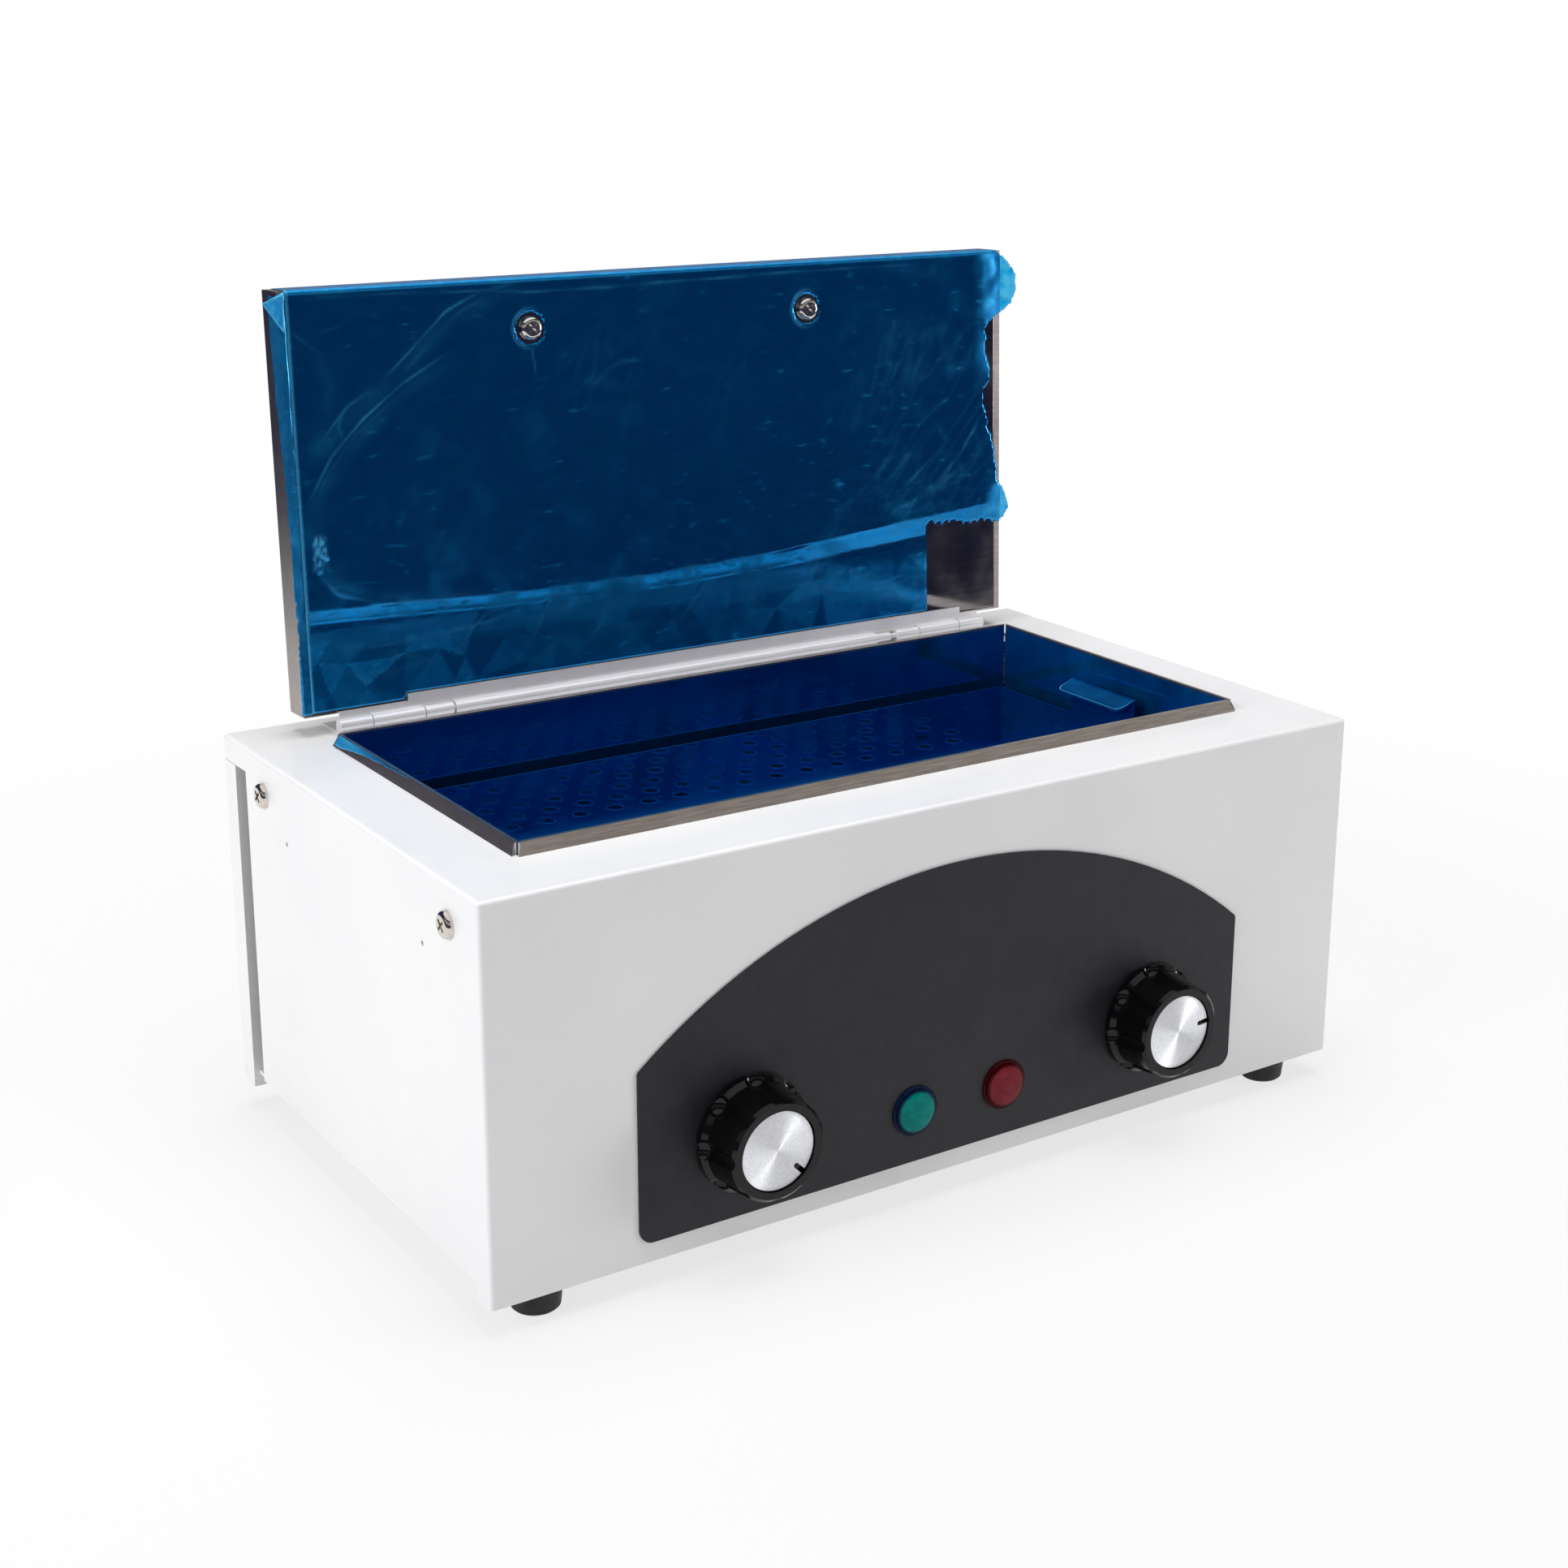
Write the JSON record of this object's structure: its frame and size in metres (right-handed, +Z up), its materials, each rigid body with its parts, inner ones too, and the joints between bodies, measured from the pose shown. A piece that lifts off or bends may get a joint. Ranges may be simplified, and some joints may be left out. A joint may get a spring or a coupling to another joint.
{
  "type": "nail tool sterilizer",
  "caption": "Dry-heat sterilizer box: white folded steel case with a steel chamber, lift-out perforated tray, hinged lid with handle, arched dark panel with rotary controls and pilot lamps",
  "frame": {"origin": "on the surface the feet stand on, under the middle of the overall bounding box with the lid open", "axes": "+X along the length of the case to the right as seen from the controls, +Y from the controls to the hinge, +Z up"},
  "size_m": [0.3598, 0.2485, 0.3004],
  "materials": {
    "white_paint": "smooth white powder coat",
    "panel_black": "matt black lacquer on flat sheet",
    "liner_steel": "bright stainless sheet",
    "plate_steel": "mirror-bright stainless sheet",
    "tray_steel": "perforated stainless sheet",
    "blue_film": "clear azure peel-off film",
    "hinge_plate": "bright nickel plate",
    "screw_plate": "nickel-plated steel",
    "zinc_plate": "zinc-plated steel",
    "foot_rubber": "black rubber",
    "knob_black": "gloss black moulding",
    "handle_black": "fine-textured black moulding",
    "disc_aluminium": "radially spun aluminium",
    "green_lens": "clear green lens",
    "red_lens": "clear red lens",
    "lamp_plastic": "ivory nylon",
    "device_black": "black moulding compound",
    "brass": "plain brass",
    "copper": "copper tube",
    "mica": "mica plate",
    "felt": "ceramic felt",
    "wire_sleeve": "woven glass sleeve"
  },
  "bodies": {
    "case": {"base_plate": "white_paint", "base_screws": "screw_plate", "bulb_clips": "zinc_plate", "case_cover": "white_paint", "chamber_brackets": "zinc_plate", "chamber_insulation": "felt", "chamber_liner": "liner_steel", "control_nuts": "screw_plate", "control_panel": "panel_black", "earth_stud": "brass", "feet": "foot_rubber", "foot_nuts": "screw_plate", "foot_screws": "screw_plate", "green_lens": "green_lens", "heater_clamps": "zinc_plate", "heater_nuts": "zinc_plate", "heater_plate": "mica", "heater_studs": "zinc_plate", "hinge_fixed_leaves": "hinge_plate", "hinge_pins": "hinge_plate", "inlet_pins": "brass", "inlet_screws": "screw_plate", "lamp_bodies": "lamp_plastic", "lamp_nuts": "lamp_plastic", "power_inlet": "device_black", "rear_panel": "white_paint", "rear_screws": "screw_plate", "red_lens": "red_lens", "side_screws": "screw_plate", "terminal_block": "lamp_plastic", "thermal_cutout": "device_black", "thermostat_body": "device_black", "thermostat_bulb": "copper", "timer_body": "lamp_plastic", "wiring": "wire_sleeve"},
    "lid": {"hinge_moving_leaf": "hinge_plate", "lid_shell": "plate_steel", "lid_inner_plate": "plate_steel", "lid_insulation": "felt", "lid_handle": "handle_black", "lid_handle_screws": "screw_plate", "lid_film": "blue_film"},
    "tray": {"tray_pan": "tray_steel"},
    "thermostat_control": {"thermostat_knob": "knob_black", "thermostat_disc": "disc_aluminium", "thermostat_shaft": "zinc_plate"},
    "timer_control": {"timer_knob": "knob_black", "timer_disc": "disc_aluminium", "timer_shaft": "zinc_plate"}
  },
  "joints": [
    {"name": "lid_hinge", "type": "hinge", "parent": "case", "child": "lid", "pos_m": [0, 0.07468, 0.1465], "axis": [1, 0, 0], "range_deg": [0, 92.1]},
    {"name": "tray_lift", "type": "slide", "parent": "case", "child": "tray", "axis": [0, 0, 1], "range_m": [0, 0.01]},
    {"name": "thermostat_turn", "type": "hinge", "parent": "case", "child": "thermostat_control", "pos_m": [-0.0846, -0.10582, 0.0458], "axis": [0, 1, 0], "range_deg": [-270, 0]},
    {"name": "timer_turn", "type": "hinge", "parent": "case", "child": "timer_control", "pos_m": [0.0846, -0.10582, 0.0458], "axis": [0, 1, 0], "range_deg": [-84, 216]}
  ]
}
